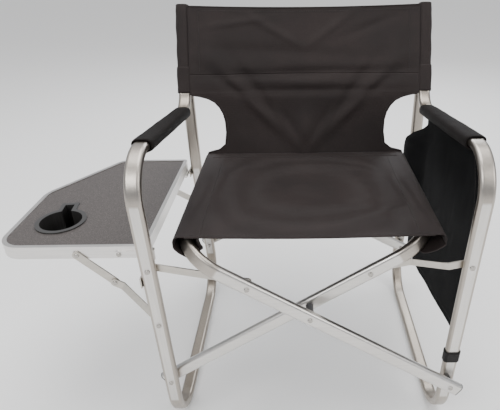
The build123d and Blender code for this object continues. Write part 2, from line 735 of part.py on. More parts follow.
def knee_rivet(y, facing):
    """Knee rivet, held in one bar, with its head on the side away from the other bar."""
    shank = rod_y(KNEE_X, KNEE_Z, y, y + BRACE_T, SHANK_R)
    return shank + head(KNEE_X, KNEE_Z, y if facing < 0 else y + BRACE_T, facing)


def brace_rim_rivets():
    """Rivets of the upper bars on the rim, front and rear."""
    front = stub_rivet(BRACE_RIM_X, BRACE_RIM_Z, UPPER_FRONT_Y - 0.1, TABLE_FRONT_Y + RIM_WALL)
    back_end = UPPER_REAR_Y + BRACE_T + 0.1
    shank = rod_y(BRACE_RIM_X, BRACE_RIM_Z, TABLE_REAR_Y - RIM_WALL, back_end, SHANK_R)
    return [front, shank + head(BRACE_RIM_X, BRACE_RIM_Z, back_end, 1)]


def brace_leg_rivets():
    """Rivets of the lower bars on the front and rear legs."""
    front_end = front_leg_y(BRACE_LEG_Z) - face_room(FRONT_LEAN, HEAD_R)
    front = rivet(-FRAME_X, BRACE_LEG_Z, front_end, BRACE_LEG_Y + BRACE_T + FACE_GAP)
    back_end = rear_leg_y(BRACE_LEG_Z) + face_room(REAR_LEAN, HEAD_R)
    return [front, rivet(-FRAME_X, BRACE_LEG_Z, LOWER_REAR_Y - FACE_GAP, back_end)]


def brace_bushes():
    """Spacer bushes between the legs and the lower bars."""
    leg_back = front_leg_y(BRACE_LEG_Z) + face_room(FRONT_LEAN, SMALL_WASHER_R)
    front = washer(-FRAME_X, BRACE_LEG_Z, leg_back, BRACE_LEG_Y - FACE_GAP, SMALL_WASHER_R)
    leg_front = rear_leg_y(BRACE_LEG_Z) - face_room(REAR_LEAN, SMALL_WASHER_R)
    rear_from = LOWER_REAR_Y + BRACE_T + FACE_GAP
    return [front, washer(-FRAME_X, BRACE_LEG_Z, rear_from, leg_front, SMALL_WASHER_R)]


# ---- cloth -----------------------------------------------------------------------------
def post_sleeve(side):
    """Cloth sleeve round the back post, closed on top and round the rear leg's upper end."""
    front = HALF_DEEP + BACK_GAP
    back = HALF_DEEP + TUBE_DEEP + TUBES_GAP + BACK_GAP
    width = TUBE_WIDE + 2 * CLOTH_GAP
    centre = Pos(0, (back - front) / 2)
    outer = centre * oval(width + 2 * CLOTH_T, front + back + 2 * CLOTH_T, TUBE_CORNER + CLOTH_T)
    inner = centre * oval(width, front + back, TUBE_CORNER)
    up = Vector(0, POST_LEAN, 1).normalized()
    stretch = hypot(1, POST_LEAN)
    base = Plane(origin=(side * FRAME_X, post_y(BACK_BOTTOM_Z), BACK_BOTTOM_Z), x_dir=(1, 0, 0),
                 z_dir=up)
    length = (BACK_TOP_Z - BACK_BOTTOM_Z) * stretch
    sleeve = extrude(base * outer, amount=length) - extrude(base * inner, amount=length - CLOTH_T)
    open_long = (BACK_SLEEVE_Z - BACK_BOTTOM_Z) * stretch
    gap = base * Pos(0, 2 * TUBE_DEEP, open_long / 2) * Box(2 * TUBE_WIDE, 4 * TUBE_DEEP, open_long)
    return sleeve - gap


def back_cloth():
    """Back cloth: post sleeves, the panel between them and the waist down to the seat."""
    stretch = hypot(1, POST_LEAN)
    face = (HALF_DEEP + BACK_GAP + CLOTH_T) * stretch
    thick = CLOTH_T * stretch
    front = [(post_y(BACK_TOP_Z) - face, BACK_TOP_Z), (post_y(BACK_BOTTOM_Z) - face, BACK_BOTTOM_Z),
             (BACK_SEAT_Y - thick, BACK_SEAT_Z)]
    line = front + [(y + thick, z) for y, z in reversed(front)]
    sheet = extrude(Plane.YZ * make_face(Polyline(*line, close=True)), amount=FRAME_X, both=True)
    half = [(FRAME_X, BACK_TOP_Z), (FRAME_X, BACK_BOTTOM_Z)] + WAIST
    outline = half + [(-x, z) for x, z in reversed(half)]
    window = extrude(Plane.XZ * make_face(Polyline(*outline, close=True)), amount=FAR, both=True)
    cloth = sheet & window
    for side in (-1, 1):
        cloth += post_sleeve(side)
    return cloth


def seat_cloth():
    """Seat cloth: the panel over both rails with its turned-down sides."""
    length = SEAT_REAR_Y - SEAT_FRONT_Y
    middle_y = SEAT_FRONT_Y + length / 2
    sheet = Pos(0, middle_y, SEAT_Z + SEAT_T / 2) * Box(2 * SEAT_HALF_X, length, SEAT_T)
    tall = SEAT_Z + SEAT_T - SEAT_LIP_LOW_Z
    for side in (-1, 1):
        lip = Box(CLOTH_T, length, tall)
        sheet += Pos(side * (SEAT_HALF_X - CLOTH_T / 2), middle_y, SEAT_LIP_LOW_Z + tall / 2) * lip
    return sheet


# ---- side bag --------------------------------------------------------------------------
def bag_panel():
    """Cloth panel that hangs inside the right side frame from the armrest sleeve."""
    drop = HALF_DEEP + PAD_T + 2 * FACE_GAP
    top = [(y, arm_z(y) - drop) for y in (PAD_FRONT_Y, BAG_TOP_REAR_Y)]
    shape = Plane.YZ * make_face(Polyline(*BAG_SHAPE, *top, *BAG_LOWER, close=True))
    return extrude(Pos(BAG_X, 0, 0) * shape, amount=BAG_T)


def bag_pocket():
    """Pocket on the panel's outer side, open at the top."""
    wide = POCKET_REAR_Y - POCKET_FRONT_Y
    tall = POCKET_TOP_Z - POCKET_BOTTOM_Z
    inner_x = BAG_X + BAG_T + FACE_GAP
    middle = Pos(inner_x + POCKET_DEEP / 2, (POCKET_FRONT_Y + POCKET_REAR_Y) / 2,
                 POCKET_BOTTOM_Z + tall / 2)
    pouch = middle * Box(POCKET_DEEP, wide, tall)
    pouch = fillet(pouch.edges().filter_by(Axis.Z).sort_by(Axis.X)[-2:], POCKET_DEEP / 3)
    hollow = middle * Pos(0, 0, POCKET_T) * Box(POCKET_DEEP - 2 * POCKET_T, wide - 2 * POCKET_T, tall)
    return pouch - hollow


def leg_strap():
    """Storage strap looped round the right front leg."""
    slant = (0, -FRONT_LEAN, 1)
    base = Plane(origin=(FRAME_X, front_leg_y(STRAP_Z), STRAP_Z), x_dir=(1, 0, 0), z_dir=slant)
    return extrude(base * oval_ring(FACE_GAP, FACE_GAP + STRAP_T), amount=STRAP_TALL)


# ---- the whole chair -------------------------------------------------------------------
def chair():
    """Every node's shape, in the chair's own building frame."""
    nodes = {}
    for side, name in ((-1, "left"), (1, "right")):
        nodes[f"{name}_frame_tube"] = side_frame_tube(side)
        nodes[f"{name}_frame_plugs"] = side_frame_plugs(side)
        nodes[f"{name}_post_rivets"] = post_rivets(side)
        nodes[f"{name}_arm_pad"] = arm_pad(side)
        nodes[f"{name}_rail_tube"] = seat_tube(side)
        nodes[f"{name}_rail_plugs"] = seat_tube_plugs(side)
        nodes[f"{name}_rail_pivots"] = lower_pivots(side)
        nodes[f"{name}_rail_washers"] = lower_washers(side)
        nodes[f"{name}_link"] = link(side)
        nodes[f"{name}_link_leg_rivet"] = link_leg_rivet(side)
        nodes[f"{name}_link_tube_rivet"] = link_tube_rivet(side)
        nodes[f"{name}_link_button"] = link_tip_button(side)
    nodes["centre_pivots"] = centre_pivots()
    nodes["centre_washers"] = centre_washers()
    nodes["table_rim"] = table_rim()
    nodes["table_board"] = table_board()
    nodes["cup_holder"] = cup_holder()
    nodes["rim_brackets"] = [rim_bracket(TABLE_FRONT_Y - BRACKET_T - 0.1), rim_bracket(TABLE_REAR_Y + 0.1)]
    nodes["rim_bracket_rivets"] = bracket_rivets()
    nodes["hinge_leg_leaves"] = [leg_leaf(True), leg_leaf(False)]
    nodes["hinge_table_leaves"] = [table_leaf(True), table_leaf(False)]
    nodes["hinge_pins"] = hinge_pins()
    nodes["hinge_leaf_rivets"] = leaf_rivets()
    nodes["brace_front_lower"] = brace_lower(True)
    nodes["brace_front_lower_rivet"] = knee_rivet(LOWER_FRONT_Y, -1)
    nodes["brace_front_upper"] = brace_upper(UPPER_FRONT_Y)
    nodes["brace_front_upper_rivet"] = knee_rivet(UPPER_FRONT_Y, 1)
    nodes["brace_rear_lower"] = brace_lower(False)
    nodes["brace_rear_lower_rivet"] = knee_rivet(LOWER_REAR_Y, 1)
    nodes["brace_rear_upper"] = brace_upper(UPPER_REAR_Y)
    nodes["brace_rear_upper_rivet"] = knee_rivet(UPPER_REAR_Y, -1)
    nodes["brace_rim_rivets"] = brace_rim_rivets()
    nodes["brace_leg_rivets"] = brace_leg_rivets()
    nodes["brace_bushes"] = brace_bushes()
    nodes["back_cloth"] = back_cloth()
    nodes["seat_cloth"] = seat_cloth()
    nodes["bag_panel"] = bag_panel()
    nodes["bag_pocket"] = bag_pocket()
    nodes["leg_strap"] = leg_strap()
    return nodes


def as_shape(piece):
    """One shape for export: a list of solids becomes a group."""
    return Compound(children=piece) if isinstance(piece, list) else piece


os.makedirs("parts", exist_ok=True)
shapes = {name: as_shape(piece) for name, piece in chair().items()}
box = Compound(children=[shape.moved(Location()) for shape in shapes.values()]).bounding_box()
home = Location((-box.center().X, -box.center().Y, -box.min.Z))
print("home", -box.center().X, -box.center().Y, -box.min.Z, "size", box.size)
for name, shape in shapes.items():
    export_step(shape.moved(home), f"parts/{name}.step")
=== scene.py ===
import json
import math

import bpy
import numpy as np
from mathutils import Matrix, Vector


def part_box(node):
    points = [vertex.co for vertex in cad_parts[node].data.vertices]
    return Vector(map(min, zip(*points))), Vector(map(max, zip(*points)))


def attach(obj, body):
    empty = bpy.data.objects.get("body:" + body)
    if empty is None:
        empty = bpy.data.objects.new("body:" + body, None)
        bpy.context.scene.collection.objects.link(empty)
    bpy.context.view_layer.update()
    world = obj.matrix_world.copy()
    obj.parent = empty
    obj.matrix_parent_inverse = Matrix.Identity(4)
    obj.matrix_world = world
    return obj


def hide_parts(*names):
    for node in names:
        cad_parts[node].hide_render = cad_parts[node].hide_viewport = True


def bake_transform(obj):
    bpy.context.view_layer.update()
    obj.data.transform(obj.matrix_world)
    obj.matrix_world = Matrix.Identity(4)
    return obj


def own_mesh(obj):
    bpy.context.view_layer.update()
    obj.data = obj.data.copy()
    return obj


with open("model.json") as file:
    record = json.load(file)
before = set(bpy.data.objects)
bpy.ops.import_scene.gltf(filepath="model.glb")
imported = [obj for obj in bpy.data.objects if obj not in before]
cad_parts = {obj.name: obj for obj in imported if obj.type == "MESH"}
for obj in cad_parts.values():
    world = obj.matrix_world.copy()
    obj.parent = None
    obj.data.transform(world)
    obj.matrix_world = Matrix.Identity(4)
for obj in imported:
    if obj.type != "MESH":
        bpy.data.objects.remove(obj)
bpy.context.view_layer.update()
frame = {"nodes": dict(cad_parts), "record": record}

# ---- the chair's own place -------------------------------------------------------------
# Sizes are in millimetres. X is 0 midway between the side frames and runs towards the bag.
# Y is 0 at the seat's front edge and runs to the back. Z is 0 on the floor.
seat_low, seat_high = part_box("seat_cloth")
HOME = np.array([(seat_low.x + seat_high.x) / 2, seat_low.y, 0.0]) * 1000
frame_low, frame_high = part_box("right_frame_tube")
FRAME_X = 1000 * (frame_low.x + frame_high.x) / 2 - HOME[0]

TUBE_DEEP = 15.0
POST_LEAN = 0.415                    # how far a back post runs back for each millimetre up
POST_TILT = math.hypot(1, POST_LEAN)
POST_COS = 0.924                     # cosine of the post's lean
POST_AT = (421.0, 615.0)             # Y and Z of a point on a post's centre line
ARM_FRONT = (-28.4, 629.0)           # Y and Z of the arm tube's front corner
ARM_REAR = (403.0, 571.0)
LEG_LEAN = -0.058                    # how far a front leg runs back for each millimetre up
LEG_LEVEL = 140.0                    # where a front leg's centre line is at Y 0


def row(points):
    """Chair millimetres to the row frame's metres."""
    return (np.asarray(points, float) + HOME) / 1000.0


def post_y(z):
    return POST_AT[0] + POST_LEAN * (z - POST_AT[1])


def arm_z(y):
    fall = (ARM_FRONT[1] - ARM_REAR[1]) / (ARM_REAR[0] - ARM_FRONT[0])
    return ARM_FRONT[1] - fall * (y - ARM_FRONT[0])


def leg_y(z):
    return LEG_LEAN * (z - LEG_LEVEL)


def ease(t):
    """Smooth step from 0 at t = 0 to 1 at t = 1."""
    t = np.clip(t, 0.0, 1.0)
    return t * t * (3 - 2 * t)


def word(side):
    return "left" if side < 0 else "right"


# ---- shader helpers --------------------------------------------------------------------
def new_material(name, color, rough, metal=0.0, **inputs):
    mat = bpy.data.materials.new(name)
    mat.use_nodes = True
    nodes, links = mat.node_tree.nodes, mat.node_tree.links
    shader = nodes["Principled BSDF"]
    shader.inputs["Base Color"].default_value = (*color, 1)
    shader.inputs["Roughness"].default_value = rough
    shader.inputs["Metallic"].default_value = metal
    for key, value in inputs.items():
        shader.inputs[key.replace("_", " ")].default_value = value
    return mat, nodes, links, shader


def coords(nodes, links, scale=(1, 1, 1)):
    place = nodes.new("ShaderNodeTexCoord")
    mapping = nodes.new("ShaderNodeMapping")
    mapping.inputs["Scale"].default_value = scale
    links.new(place.outputs["Object"], mapping.inputs["Vector"])
    return mapping.outputs["Vector"]


def noise(nodes, links, vector, scale, detail):
    tex = nodes.new("ShaderNodeTexNoise")
    tex.inputs["Scale"].default_value = scale
    tex.inputs["Detail"].default_value = detail
    links.new(vector, tex.inputs["Vector"])
    return tex.outputs["Fac"]


def ramp(nodes, links, value, stops):
    """Colour ramp through (position, color) stops."""
    node = nodes.new("ShaderNodeValToRGB")
    ends = node.color_ramp.elements
    ends[0].position, ends[0].color = stops[0][0], (*stops[0][1], 1)
    ends[1].position, ends[1].color = stops[-1][0], (*stops[-1][1], 1)
    for position, color in stops[1:-1]:
        ends.new(position).color = (*color, 1)
    links.new(value, node.inputs["Fac"])
    return node.outputs["Color"]


def math_node(nodes, links, kind, a, b):
    node = nodes.new("ShaderNodeMath")
    node.operation = kind
    for i, value in enumerate((a, b)):
        if isinstance(value, float):
            node.inputs[i].default_value = value
        else:
            links.new(value, node.inputs[i])
    return node.outputs["Value"]


def bump(nodes, links, shader, height, strength, distance):
    node = nodes.new("ShaderNodeBump")
    node.inputs["Strength"].default_value = strength
    node.inputs["Distance"].default_value = distance
    links.new(height, node.inputs["Height"])
    links.new(node.outputs["Normal"], shader.inputs["Normal"])


def edge_wear(nodes, links, low, high):
    """Low colour on flats and hollows, high colour on sharp edges."""
    geometry = nodes.new("ShaderNodeNewGeometry")
    return ramp(nodes, links, geometry.outputs["Pointiness"], [(0.50, low), (0.56, high)])


# ---- materials -------------------------------------------------------------------------
def metal(name, color, bright, rough, streak):
    """Satin metal: fine streaks, soft cloudy roughness and brighter worn edges."""
    mat, nodes, links, shader = new_material(name, color, rough, 1.0)
    fine = noise(nodes, links, coords(nodes, links, streak), 260.0, 3.0)
    cloud = noise(nodes, links, coords(nodes, links), 14.0, 3.0)
    mix = nodes.new("ShaderNodeMixRGB")
    mix.blend_type = "MULTIPLY"
    mix.inputs["Fac"].default_value = 0.35
    links.new(edge_wear(nodes, links, color, bright), mix.inputs["Color1"])
    streaks = ramp(nodes, links, fine, [(0.3, (0.72, 0.72, 0.72)), (0.7, (1, 1, 1))])
    links.new(streaks, mix.inputs["Color2"])
    links.new(mix.outputs["Color"], shader.inputs["Base Color"])
    swing = 0.22
    varied = math_node(nodes, links, "MULTIPLY", cloud, swing)
    varied = math_node(nodes, links, "ADD", varied, rough - swing / 2)
    links.new(varied, shader.inputs["Roughness"])
    bump(nodes, links, shader, fine, 0.12, 0.0004)
    return mat


def plastic(name, color, rough, grain, coat=0.0):
    """Moulded plastic with a fine grain and paler rubbed edges."""
    mat, nodes, links, shader = new_material(name, color, rough, Coat_Weight=coat)
    fine = noise(nodes, links, coords(nodes, links), grain, 2.0)
    lighter = tuple(min(1.0, 2.6 * c + 0.01) for c in color)
    links.new(edge_wear(nodes, links, color, lighter), shader.inputs["Base Color"])
    bump(nodes, links, shader, fine, 0.15, 0.0003)
    return mat


def speckle(name):
    """Fine light and dark grains over dark grey-brown."""
    mat, nodes, links, shader = new_material(name, (0.1, 0.1, 0.1), 0.42)
    cells = nodes.new("ShaderNodeTexVoronoi")
    cells.inputs["Scale"].default_value = 900.0
    links.new(coords(nodes, links), cells.inputs["Vector"])
    grains = nodes.new("ShaderNodeSeparateColor")
    links.new(cells.outputs["Color"], grains.inputs["Color"])
    color = ramp(nodes, links, grains.outputs["Red"],
                 [(0.0, (0.042, 0.036, 0.034)), (0.45, (0.062, 0.053, 0.050)),
                  (0.8, (0.080, 0.069, 0.065)), (1.0, (0.13, 0.115, 0.108))])
    links.new(color, shader.inputs["Base Color"])
    bump(nodes, links, shader, grains.outputs["Red"], 0.08, 0.0003)
    return mat


def woven(name, color, rough, pitch=0.0011, strength=0.55, shine=0.22):
    """Plain weave: crossed threads in the bump, flecks of lighter thread and soft cloudy wear."""
    mat, nodes, links, shader = new_material(name, color, rough, Sheen_Weight=0.27 * shine,
                                             Sheen_Roughness=0.4, Specular_IOR_Level=shine)
    vector = coords(nodes, links)
    waves = []
    for direction in ("X", "Z", "Y"):
        wave = nodes.new("ShaderNodeTexWave")
        wave.bands_direction = direction
        wave.inputs["Scale"].default_value = 0.314 / pitch
        wave.inputs["Distortion"].default_value = 0.25
        links.new(vector, wave.inputs["Vector"])
        waves.append(wave.outputs["Fac"])
    down = math_node(nodes, links, "MAXIMUM", waves[1], waves[2])
    across = math_node(nodes, links, "MULTIPLY", waves[0], down)
    cloud = noise(nodes, links, vector, 9.0, 5.0)
    fleck = noise(nodes, links, vector, 900.0, 1.0)
    lighter = tuple(1.9 * c for c in color)
    mixed = math_node(nodes, links, "MULTIPLY", cloud, fleck)
    links.new(ramp(nodes, links, mixed, [(0.12, color), (0.42, lighter)]), shader.inputs["Base Color"])
    bump(nodes, links, shader, across, strength, pitch * 0.5)
    return mat


BEIGE, WORN = (0.37, 0.325, 0.275), (0.70, 0.68, 0.65)
MATERIALS = {
    "frame_aluminium": metal("frame_aluminium_look", BEIGE, WORN, 0.34, (1, 1, 0.04)),
    "seat_tube_aluminium": metal("seat_tube_look", BEIGE, WORN, 0.34, (0.05, 1, 1)),
    "rim_aluminium": metal("rim_look", (0.38, 0.35, 0.315), (0.74, 0.72, 0.70), 0.33, (0.04, 0.04, 1)),
    "strip_steel": metal("strip_look", (0.31, 0.28, 0.235), (0.55, 0.52, 0.47), 0.38, (0.06, 1, 0.4)),
    "rivet_steel": metal("rivet_look", (0.36, 0.34, 0.31), (0.82, 0.80, 0.77), 0.25, (1, 1, 1)),
    "black_plastic": plastic("black_plastic_look", (0.018, 0.018, 0.019), 0.5, 900.0),
    "black_gloss_plastic": plastic("cup_plastic_look", (0.009, 0.0085, 0.008), 0.3, 500.0, 0.2),
    "speckled_board": speckle("board_look"),
    "seat_fabric": woven("seat_cloth_look", (0.0135, 0.0094, 0.0088), 0.60),
    "padded_fabric": woven("pad_cloth_look", (0.0060, 0.0046, 0.0042), 0.72, shine=0.10),
    "bag_fabric": woven("bag_cloth_look", (0.0030, 0.0030, 0.0032), 0.8, shine=0.05),
    "strap_webbing": woven("strap_look", (0.012, 0.011, 0.011), 0.7, 0.0022, 0.8),
    "thread": woven("thread_look", (0.030, 0.027, 0.026), 0.6, 0.0006, 0.5),
}

slots = {s["node"]: s["material_slot"] for s in frame["record"]["subparts"]}
for node, obj in frame["nodes"].items():
    obj.data.materials.clear()
    obj.data.materials.append(MATERIALS[slots[node]])


# ---- mesh helpers ----------------------------------------------------------------------
def add_mesh(name, verts, faces, material):
    mesh = bpy.data.meshes.new(name)
    mesh.from_pydata([tuple(v) for v in row(verts)], [], faces)
    mesh.validate()
    mesh.polygons.foreach_set("use_smooth", [True] * len(mesh.polygons))
    obj = bpy.data.objects.new(name, mesh)
    bpy.context.scene.collection.objects.link(obj)
    mesh.materials.append(MATERIALS[material])
    mesh.update()
    return obj


def cloth(name, grid, thick, material, around=False):
    """A closed sheet from a grid of points (rows, columns, 3); around joins the last column to the first."""
    rows, cols = grid.shape[:2]
    d_row = np.gradient(grid, axis=0)
    if around:
        wrapped = np.concatenate([grid[:, -2:-1], grid, grid[:, 1:2]], axis=1)
        d_col = np.gradient(wrapped, axis=1)[:, 1:-1]
    else:
        d_col = np.gradient(grid, axis=1)
    normal = np.cross(d_row, d_col)
    normal /= np.maximum(np.linalg.norm(normal, axis=2, keepdims=True), 1e-9)
    last = cols - 1 if around else cols
    faces_of = [(grid + way * normal * thick / 2)[:, :last].reshape(-1, 3) for way in (1, -1)]
    half = rows * last

    def at(i, j, side):
        return side * half + i * last + j % last

    faces = []
    spans = last if around else last - 1
    for i in range(rows - 1):
        for j in range(spans):
            faces.append((at(i, j, 0), at(i + 1, j, 0), at(i + 1, j + 1, 0), at(i, j + 1, 0)))
            faces.append((at(i, j, 1), at(i, j + 1, 1), at(i + 1, j + 1, 1), at(i + 1, j, 1)))
    end = rows - 1
    for j in range(spans):
        faces.append((at(0, j, 0), at(0, j + 1, 0), at(0, j + 1, 1), at(0, j, 1)))
        faces.append((at(end, j, 0), at(end, j, 1), at(end, j + 1, 1), at(end, j + 1, 0)))
    if not around:
        edge = last - 1
        for i in range(rows - 1):
            faces.append((at(i, 0, 0), at(i, 0, 1), at(i + 1, 0, 1), at(i + 1, 0, 0)))
            faces.append((at(i, edge, 0), at(i + 1, edge, 0), at(i + 1, edge, 1), at(i, edge, 1)))
    return add_mesh(name, np.concatenate(faces_of), faces, material)


def tube(points, radius, sides=8, closed=False):
    """Vertices and faces of a round cord through points."""
    points = np.asarray(points, float)
    count = len(points)
    run = np.roll(points, -1, axis=0) - np.roll(points, 1, axis=0) if closed else np.gradient(points, axis=0)
    run /= np.maximum(np.linalg.norm(run, axis=1, keepdims=True), 1e-9)
    up = np.where(np.abs(run[:, 2:3]) > 0.9, [[1.0, 0, 0]], [[0, 0, 1.0]])
    across = np.cross(run, up)
    across /= np.linalg.norm(across, axis=1, keepdims=True)
    top = np.cross(across, run)
    angles = np.linspace(0, 2 * math.pi, sides, endpoint=False)[None, :, None]
    ring = across[:, None] * np.cos(angles) + top[:, None] * np.sin(angles)
    verts = (points[:, None] + radius * ring).reshape(-1, 3)
    faces = []
    for i in range(count if closed else count - 1):
        a, b = i * sides, (i + 1) % count * sides
        faces += [(a + k, a + (k + 1) % sides, b + (k + 1) % sides, b + k) for k in range(sides)]
    if not closed:
        faces.append(tuple(range(sides))[::-1])
        faces.append(tuple((count - 1) * sides + k for k in range(sides)))
    return verts, faces


def stitches(name, line, length=3.2, gap=1.9, radius=0.42):
    """A row of short stitches along a line of points."""
    line = np.asarray(line, float)
    steps = np.concatenate([[0], np.cumsum(np.linalg.norm(np.diff(line, axis=0), axis=1))])

    def at(s):
        return np.array([np.interp(s, steps, line[:, k]) for k in range(3)])

    verts, faces, count = [], [], 0
    s = gap
    while s + length < steps[-1]:
        ring, quads = tube([at(s), at(s + length * 0.5), at(s + length)], radius, 6)
        verts.append(ring)
        faces += [tuple(count + k for k in f) for f in quads]
        count += len(ring)
        s += length + gap
    return add_mesh(name, np.concatenate(verts), faces, "thread")


def cord_along(name, line, radius, material, closed=False):
    verts, faces = tube(line, radius, closed=closed)
    return add_mesh(name, verts, faces, material)


def oval(width, depth, count):
    """Closed outline of a rounded rectangle, starting in the middle of its +y side."""
    angles = np.linspace(0, 2 * math.pi, count, endpoint=False) + math.pi / 2
    u, v = np.cos(angles), np.sin(angles)
    power = 2.0 / 3.2
    a = np.sign(u) * np.abs(u) ** power * width / 2
    b = np.sign(v) * np.abs(v) ** power * depth / 2
    return np.stack([a, b], axis=1)


def ride_all(pieces, body):
    for piece in pieces:
        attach(piece, body)


def dent(grid, axis, centre, angle, long, wide, depth, mask=1.0):
    """Press a long soft crease into a grid: depth goes along axis, centre and angle lie across it."""
    flat_axis = 2 if axis == 1 else 1
    du, dv = grid[..., 0] - centre[0], grid[..., flat_axis] - centre[1]
    along = du * math.cos(angle) + dv * math.sin(angle)
    off = -du * math.sin(angle) + dv * math.cos(angle)
    grid[..., axis] += mask * depth * np.exp(-(along / long) ** 2 - (off / wide) ** 2)


# ---- seat ------------------------------------------------------------------------------
SEAT_FRONT, SEAT_REAR = 0.0, 371.0
SEAT_Z = 474.3                # middle surface at the rails
SEAT_FLAT_X = 214.0           # half width of the flat top
SHOULDER_X = 221.0            # where the cloth starts to turn down round the rail
SIDE_X = 232.6
SIDE_TOP_Z, SIDE_LOW_Z = 463.2, 452.6
SAG, LEAST_SAG = 2.6, 1.2
FRONT_BOW, HEM_BOW, BOW_SCALE = 1.6, 1.5, 70.0
TOP_POINTS = 44


def seat_section(y):
    """Half of the seat's section from the middle to the bottom of its side, as (x, z)."""
    way = np.clip((y - SEAT_FRONT) / (SEAT_REAR - SEAT_FRONT), 0, 1)
    sag = SAG * math.sin(math.pi * way) + LEAST_SAG
    points = []
    for x in np.linspace(0, SEAT_FLAT_X, TOP_POINTS):
        t = x / SEAT_FLAT_X
        ripple = 0.35 * math.sin(x / 13.0 + y / 40.0) * t ** 3
        points.append((x, SEAT_Z - sag * (1 - t ** 2.2) + ripple))
    for a in np.linspace(0.12, 1, 9) * math.pi / 2:
        points.append((SHOULDER_X + (SIDE_X - SHOULDER_X) * math.sin(a),
                       SIDE_TOP_Z + (SEAT_Z - SIDE_TOP_Z) * math.cos(a) ** 0.9))
    for z in np.linspace(SIDE_TOP_Z - 2.8, SIDE_LOW_Z, 4):
        points.append((SIDE_X + 0.25 * math.sin(y / 21.0), z))
    return np.array(points)


def seat_top(x, y, lift=1.15):
    """Height of the seat's upper face, or lift above its middle surface."""
    half = seat_section(y)[:TOP_POINTS]
    return np.interp(abs(x), half[:, 0], half[:, 1]) + lift


def seat_grid():
    edge, inner = 1.5, 4.0
    inside = np.linspace(SEAT_FRONT + inner, SEAT_REAR - inner, 92)
    ys = np.concatenate([[SEAT_FRONT, SEAT_FRONT + edge], inside, [SEAT_REAR - edge, SEAT_REAR]])
    grid = []
    for y in ys:
        half = seat_section(y)
        bow = FRONT_BOW * math.exp(-((y - SEAT_FRONT) / 26.0) ** 2)
        full = [(-x, z) for x, z in half[::-1]] + [(x, z) for x, z in half[1:]]
        grid.append([(x, y - bow * math.cos(x / BOW_SCALE), z) for x, z in full])
    grid = np.array(grid)
    rng = np.random.default_rng(3)
    on_top = np.abs(grid[..., 0]) < SEAT_FLAT_X - 2
    for _ in range(16):
        centre = (rng.uniform(-200, 200), rng.uniform(20, 350))
        angle, long, wide = rng.uniform(-0.5, 0.5), rng.uniform(60, 130), rng.uniform(9, 18)
        dent(grid, 2, centre, angle, long, wide, rng.uniform(-0.4, 0.35), on_top)
    return grid


def seat_line(y, half_width, count, lift, bow=0.0):
    """Points across the seat's top at one depth."""
    xs = np.linspace(-half_width, half_width, count)
    return [(x, y - bow * math.cos(x / BOW_SCALE), lift(x)) for x in xs]


seat = cloth("seat_cloth_sheet", seat_grid(), 1.7, "seat_fabric")
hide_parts("seat_cloth")
BAND_Y, REAR_HEM_Y = SEAT_REAR - 24, SEAT_REAR - 20
front_line = seat_line(SEAT_FRONT + 4.4, 210, 160, lambda x: seat_top(x, SEAT_FRONT + 4), HEM_BOW)
roll_line = seat_line(SEAT_FRONT - 0.2, 212, 120, lambda x: seat_top(x, SEAT_FRONT, -0.6), FRONT_BOW)
seam_pieces = [
    stitches("seat_front_stitches", front_line),
    cord_along("seat_front_hem", roll_line, 1.5, "seat_fabric"),
    cord_along("seat_rear_band", seat_line(BAND_Y, 212, 120, lambda x: seat_top(x, BAND_Y, 0.6)), 1.1,
               "seat_fabric"),
    stitches("seat_rear_stitches", seat_line(REAR_HEM_Y, 212, 160, lambda x: seat_top(x, REAR_HEM_Y))),
]
SIDE_SEAM_X = 188.0
for side in (-1, 1):
    line = [(side * SIDE_SEAM_X, y, seat_top(SIDE_SEAM_X, y))
            for y in np.linspace(SEAT_FRONT + 6, SEAT_REAR - 6, 120)]
    seam_pieces.append(stitches(f"seat_side_stitches_{word(side)}", line))
for piece in [seat, *seam_pieces]:
    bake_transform(piece)

# ---- sleeves under the seat rails ------------------------------------------------------
RAIL = np.array([220.0, 458.4])        # X and Z of a rail's centre line
RAIL_LEAN = np.array([0.541, 0.841])   # sine and cosine of the crossed legs' angle
BEND_R = 75.0
BEND_END = {-1: 52.0, 1: 92.0}         # Y where each rail's front bend ends
SLEEVE_REAR = 306.0
SLEEVE_COLUMNS, SLEEVE_ROWS = 30, 72


def sleeve_section(side):
    """The under half of a rail's sleeve, from the outer side round the bottom to the seam inside."""
    wide = np.array([side * -RAIL_LEAN[0], RAIL_LEAN[1]])
    deep = np.array([side * RAIL_LEAN[1], RAIL_LEAN[0]])
    centre = np.array([side * RAIL[0], RAIL[1]])
    loop = np.array([centre + wide * a + deep * b for a, b in oval(29.6, 17.6, 96)])
    under = loop[(loop[:, 1] < 456.0)]
    under = under[np.argsort(-side * under[:, 0])]
    under = under[under[:, 0] * side < 231.6]
    start = [[side * 232.2, 455.0]]
    seam = [[side * 196.0, 466.0], [side * 190.0, 470.6]]
    return np.concatenate([start, under, seam])


def tube_shift(y, bend_y):
    """How far a rail's tube has swung inwards and down in its front bend."""
    back = min(max(bend_y - y, 0.0), 0.8 * BEND_R)
    return BEND_R - math.sqrt(BEND_R ** 2 - back ** 2)


def sleeve_grid(side, xs, zs):
    bend_y = BEND_END[side]
    grid = np.zeros((SLEEVE_ROWS, SLEEVE_COLUMNS, 3))
    for k, (x, z) in enumerate(zip(xs, zs)):
        front = 1.0 + (bend_y - BEND_END[-1]) * float(ease(k / 16))
        swings = float(ease(k / 7)) * (1 - float(ease((k - 23) / 6)))
        for i, y in enumerate(np.linspace(front, SLEEVE_REAR, SLEEVE_ROWS)):
            shift = tube_shift(y, bend_y) * swings
            ripple = 0.3 * math.sin(y / 9.0 + 3 * k / SLEEVE_COLUMNS)
            grid[i, k] = (x - side * RAIL_LEAN[1] * shift + ripple, y,
                          z - RAIL_LEAN[0] * shift - 0.3 * math.sin(y / 17.0))
    return grid


